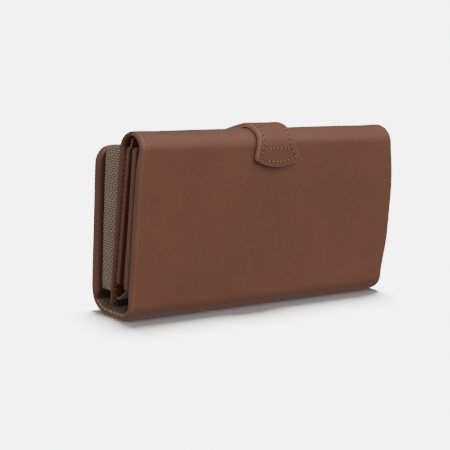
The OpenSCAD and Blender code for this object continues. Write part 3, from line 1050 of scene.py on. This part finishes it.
def gusset(name, node, end):
    low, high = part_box(node)
    outer_x = high.x if end > 0 else -low.x
    high_y = high.y - (high.z - low.z) * math.tan(lean)
    rows = round((high.z - low.z) / GUSSET_CELL)
    columns = round((high.y - low.y) / GUSSET_CELL)
    bm = bmesh.new()
    bmesh.ops.create_grid(bm, x_segments=columns, y_segments=rows, size=1)
    flat = bm.loops.layers.uv.new("flat")
    rim = {v for e in bm.edges if e.is_boundary for v in e.verts}
    sides = {}
    for v in bm.verts:
        across, high_share = (v.co.x + 1) / 2, (v.co.y + 1) / 2
        z = low.z + high_share * (high.z - low.z)
        rear = high_y + (z - low.z) * math.tan(lean)
        into = max(z - (high.z - SHOULDER_R), 0) / SHOULDER_R
        rear -= SHOULDER_R * (1 - math.sqrt(max(1 - into ** 2, 0)))
        front = low.y + 1.5 * MM * (1 - math.sqrt(max(1 - max(
            z - (high.z - 1.5 * MM), 0) ** 2 / (1.5 * MM) ** 2, 0)))
        y = front + across * (rear - front)
        edge = min(y - front, rear - y, z - low.z, high.z - z)
        round_off = 1 - smooth_step(edge, 0, 1.1 * MM)
        belly = (math.sin(math.pi * across) ** 0.6
                 * math.sin(math.pi * min(high_share, 0.97)) ** 0.3)
        crumple = noise.noise(Vector((y * 60, z * 35, end * 4.0)))
        out = MM * (0.75 * belly - 0.75 * round_off + 0.25 * crumple
                    + 0.16 * weave_relief(y, z) * (1 - round_off * 0.6))
        sides[v] = (y, z)
        v.co = (end * (outer_x + out), y, z)
    for face in bm.faces:
        for loop in face.loops:
            loop[flat].uv = sides[loop.vert]
    skirt = bmesh.ops.extrude_edge_only(
        bm, edges=[e for e in bm.edges if e.is_boundary])["geom"]
    for v in skirt:
        if isinstance(v, bmesh.types.BMVert):
            v.co.x = end * (outer_x - 0.75 * MM)
    bmesh.ops.contextual_create(
        bm, geom=[e for e in bm.edges if e.is_boundary])
    cloth = piece(name, bm, taupe_weave, crease=80)
    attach(cloth, "rear_cover")
    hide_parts(node)
    return cloth


gusset("left_gusset_cloth", "purse_left_gusset", -1)
gusset("right_gusset_cloth", "purse_right_gusset", 1)

# %% [markdown]
# ## Zip
# A zip is two tapes with a row of teeth on each inner edge, a slider that
# joins them and two stops. The tapes are thin twill strips. Each tooth is
# one bevelled block, and the two rows are set half a pitch apart so that
# they mesh. The slider, its pull and the stops take the measured solids'
# shape, with every hard edge broken as on a casting.

# %% Zip tapes and teeth
def tape(name, node, end):
    low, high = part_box(node)
    line = FoldLine(low.y, high.z, 0, -1)
    line.straight(high.y - low.y)
    bm = cut_sheet(high.x, 0, line.length, high.z - low.z,
                   rims=(0.2 * MM, 0.2 * MM))
    slice_sheet(bm, 0, spread(-high.x, high.x, 5 * MM))
    slice_sheet(bm, 1, spread(0, line.length, 1 * MM))
    inner = line.length if end < 0 else 0

    def sag(x, run, depth):
        wave = noise.noise(Vector((x * 40, run * 80, 1.7 + end)))
        cord = 1 - smooth_step(abs(run - inner), 0, 1.4 * MM)
        return x, run, depth + MM * (0.18 * wave - 0.3 * cord)

    fold(bm, line, sag)
    strip = piece(name, bm, zip_twill)
    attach(strip, "rear_cover")
    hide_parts(node)


tape("front_zip_twill", "zip_front_tape", -1)
tape("rear_zip_twill", "zip_rear_tape", 1)

TOOTH_PITCH = 2.3 * MM
for end, node in ((-1, "zip_front_teeth"), (1, "zip_rear_teeth")):
    low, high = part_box(node)
    bm = bmesh.new()
    count = int((high.x - low.x) / TOOTH_PITCH)
    for i in range(count):
        x = low.x + (i + 0.5 + end * 0.25) * TOOTH_PITCH
        y = (low.y + high.y) / 2 - end * 0.1 * MM
        bmesh.ops.create_cube(bm, size=1, matrix=Matrix.Translation(
            (x, y, (low.z + high.z) / 2)) @ Matrix.Diagonal(
                (1.05 * MM, high.y - low.y + 0.2 * MM, high.z - low.z, 1)))
    bmesh.ops.bevel(bm, geom=bm.edges[:], offset=0.2 * MM, segments=1,
                    affect="EDGES", profile=0.5, material=-1)
    teeth = piece(node.replace("zip_", "") + "_brass", bm, brass,
                  crease=30)
    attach(teeth, "rear_cover")
    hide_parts(node)

# %% Slider, pull and stops
def soften(name, node, body, round_off):
    bm = bmesh.new()
    bm.from_mesh(frame["nodes"][node].data)
    bmesh.ops.remove_doubles(bm, verts=bm.verts, dist=0.005 * MM)
    bmesh.ops.dissolve_limit(bm, angle_limit=math.radians(2),
                             verts=bm.verts, edges=bm.edges)
    sharp = [e for e in bm.edges
             if len(e.link_faces) == 2 and e.calc_face_angle() > 0.6]
    bmesh.ops.bevel(bm, geom=sharp, offset=round_off, segments=2,
                    affect="EDGES", profile=0.5, material=-1,
                    clamp_overlap=True)
    made = piece(name, bm, brass, crease=35)
    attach(made, body)
    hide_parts(node)


soften("slider_brass", "zip_slider_body", "zip_slider", 0.16 * MM)
soften("pull_brass", "zip_pull_tag", "zip_pull", 0.14 * MM)
soften("stops_brass", "zip_stops", "rear_cover", 0.2 * MM)

# %% [markdown]
# ## Closure tab
# The tab is two leathers sewn face to face: a straight strap that starts
# as a patch on the rear cover, bends over the top and ends in a fan on the
# front. Half of its outline is drawn by spinning one point along the fan's
# round base and drawing it out up the flare and the strap. The half is
# mirrored and filled, and its corners are rounded. Then it is thickened,
# sliced at its bends and folded along a line that follows the back, the
# gap behind the roll, the roll and the front.

# %% Tab fold line and outline
tab_hinge = hinge_at["tab_lift"]
root_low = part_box("strap_root")[0].z
tab_low, tab_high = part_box("tab_leather")
strap_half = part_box("strap_root")[1].x
LAYER_THICK = 1.3 * MM
fan_half = tab_high.x
fan_low_z = tab_low.z
strap_out_r = tab_high.z - roll_z
from_roll = Vector((tab_hinge.y - crest.y, tab_hinge.z - roll_z))
leave = (math.atan2(from_roll.y, from_roll.x)
         + math.acos(strap_out_r / from_roll.length))
reach = math.sqrt(from_roll.length ** 2 - strap_out_r ** 2)
HINGE_BEND_R = 5 * MM
bend_cut = HINGE_BEND_R * math.tan((leave + lean) / 2)
root_run = (tab_hinge.z - root_low) / math.cos(lean)

tab_line = FoldLine(tab_hinge.y - root_run * math.sin(lean), root_low,
                    90 - lean_deg, 1)
tab_line.straight(root_run - bend_cut)
tab_line.bend(HINGE_BEND_R, math.degrees(leave + lean))
tab_line.straight(reach - bend_cut)
tab_line.bend(strap_out_r, 180 - math.degrees(leave))
flare_start = tab_line.length - 3 * MM
tab_line.straight(roll_z - fan_low_z)

FAN_SAG = 4.2 * MM
ASKEW, ARCH = 2.2 * MM, 0.9 * MM
flare_end = tab_line.length - FAN_SAG
base_r = (fan_half ** 2 + FAN_SAG ** 2) / (2 * FAN_SAG)
base_turn = math.asin(fan_half / base_r)
base_centre = Vector((0, tab_line.length - base_r, 0))
print(f"tab line {tab_line.length / MM:.1f} mm, base radius"
      f" {base_r / MM:.1f} mm")


def settle_tab(x, run, depth):
    """A worn strap lies a little askew and arches behind the roll."""
    askew = 1 - smooth_step(run, flare_start, tab_line.length - 2 * MM)
    arch = math.sin(math.pi * min(max((run - root_run) / (reach + 6 * MM),
                                      0), 1))
    return x - ASKEW * askew - 0.4 * MM, run, depth - ARCH * arch


def tab_layer(depth, rims):
    bm = bmesh.new()
    tip = bmesh.ops.create_vert(
        bm, co=(0, tab_line.length, 0))["vert"]
    tip = bmesh.ops.spin(
        bm, geom=tip, cent=base_centre, axis=(0, 0, 1), angle=-base_turn,
        steps=10, use_duplicate=False)["geom_last"]
    tip = [v for v in tip if isinstance(v, bmesh.types.BMVert)]
    for corner in ((strap_half, flare_start), (strap_half, 0), (0, 0)):
        made = bmesh.ops.extrude_vert_indiv(bm, verts=tip)["verts"]
        made[0].co = (*corner, 0)
        tip = made
    bmesh.ops.mirror(bm, geom=bm.verts[:] + bm.edges[:], axis="X",
                     merge_dist=1e-6)
    bmesh.ops.remove_doubles(bm, verts=bm.verts, dist=1e-6)
    bmesh.ops.contextual_create(bm, geom=bm.edges[:])
    for run, radius in ((flare_end, 2.9), (flare_start, 6), (0, 1.7)):
        corners = [v for v in bm.verts if abs(v.co.y - run) < 1e-6
                   and abs(v.co.x) > strap_half - 1e-6]
        bmesh.ops.bevel(bm, geom=corners, offset=radius * MM, segments=6,
                        affect="VERTICES", profile=0.5, material=-1,
                        clamp_overlap=True)
    thicken(bm, LAYER_THICK, rims)
    # full rim paleness: the tab's pale edge line is burnished colour plus a painted highlight,
    # kept pale even on the shaded bottom edge
    mark_rim(bm, LAYER_THICK)
    slice_bends(bm, tab_line, coarse=3 * MM)
    slice_sheet(bm, 0, [-9 * MM, -4.5 * MM, 0, 4.5 * MM, 9 * MM])
    fold(bm, tab_line, lambda x, run, d: settle_tab(x, run, d + depth))
    return bm


# %% Tab leathers
tab_outer = piece("tab_top_leather", tab_layer(0, (0.75 * MM, 0.15 * MM)),
                  outer_leather)
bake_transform(tab_outer)
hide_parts("tab_leather", "strap_root")
tab_under = piece(
    "tab_under_leather",
    tab_layer(LAYER_THICK, (0.2 * MM, 0.4 * MM)), outer_leather)
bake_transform(tab_under)
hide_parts("tab_lining")

# %% Tab seams
SEAM_INSET = 2.7 * MM
threads, holes = bmesh.new(), bmesh.new()
side_x = strap_half - SEAM_INSET
seam_r = base_r - SEAM_INSET
seam_turn = math.asin((fan_half - SEAM_INSET - 1 * MM) / seam_r)
flare = [(side_x, flare_start),
         (seam_r * math.sin(seam_turn),
          base_centre.y + seam_r * math.cos(seam_turn))]
base = [(seam_r * math.sin(seam_turn * k / 12),
         base_centre.y + seam_r * math.cos(seam_turn * k / 12))
        for k in range(11, -12, -1)]
whole = ([(side_x, SEAM_INSET)] + flare + base
         + [(-x, run) for x, run in reversed(flare)]
         + [(-side_x, SEAM_INSET)])
lay_stitches(threads, holes, whole)
lay_stitches(threads, holes, [(-side_x, SEAM_INSET), (side_x, SEAM_INSET)])
cross_run = tab_line.length - (roll_z - 0.4 * MM - fan_low_z)
lay_stitches(threads, holes, [(-side_x - 0.4 * MM, cross_run),
                              (side_x + 0.4 * MM, cross_run)])
tab_seams = sew("tab_seam", threads, holes, tab_line, settle_tab)
for seam in tab_seams:
    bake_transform(seam)
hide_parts("tab_stitching", "root_stitching")

# %% [markdown]
# ## Magnets
# A pair of thin magnets is shut inside the tab and the front cover. The
# measured discs are right as they are and only get their steel finish.

# %% Magnet finish
for node in ("cover_magnet", "tab_magnet"):
    disc = frame["nodes"][node].data
    disc.materials.clear()
    disc.materials.append(steel)
print("magnets finished in", steel.name)
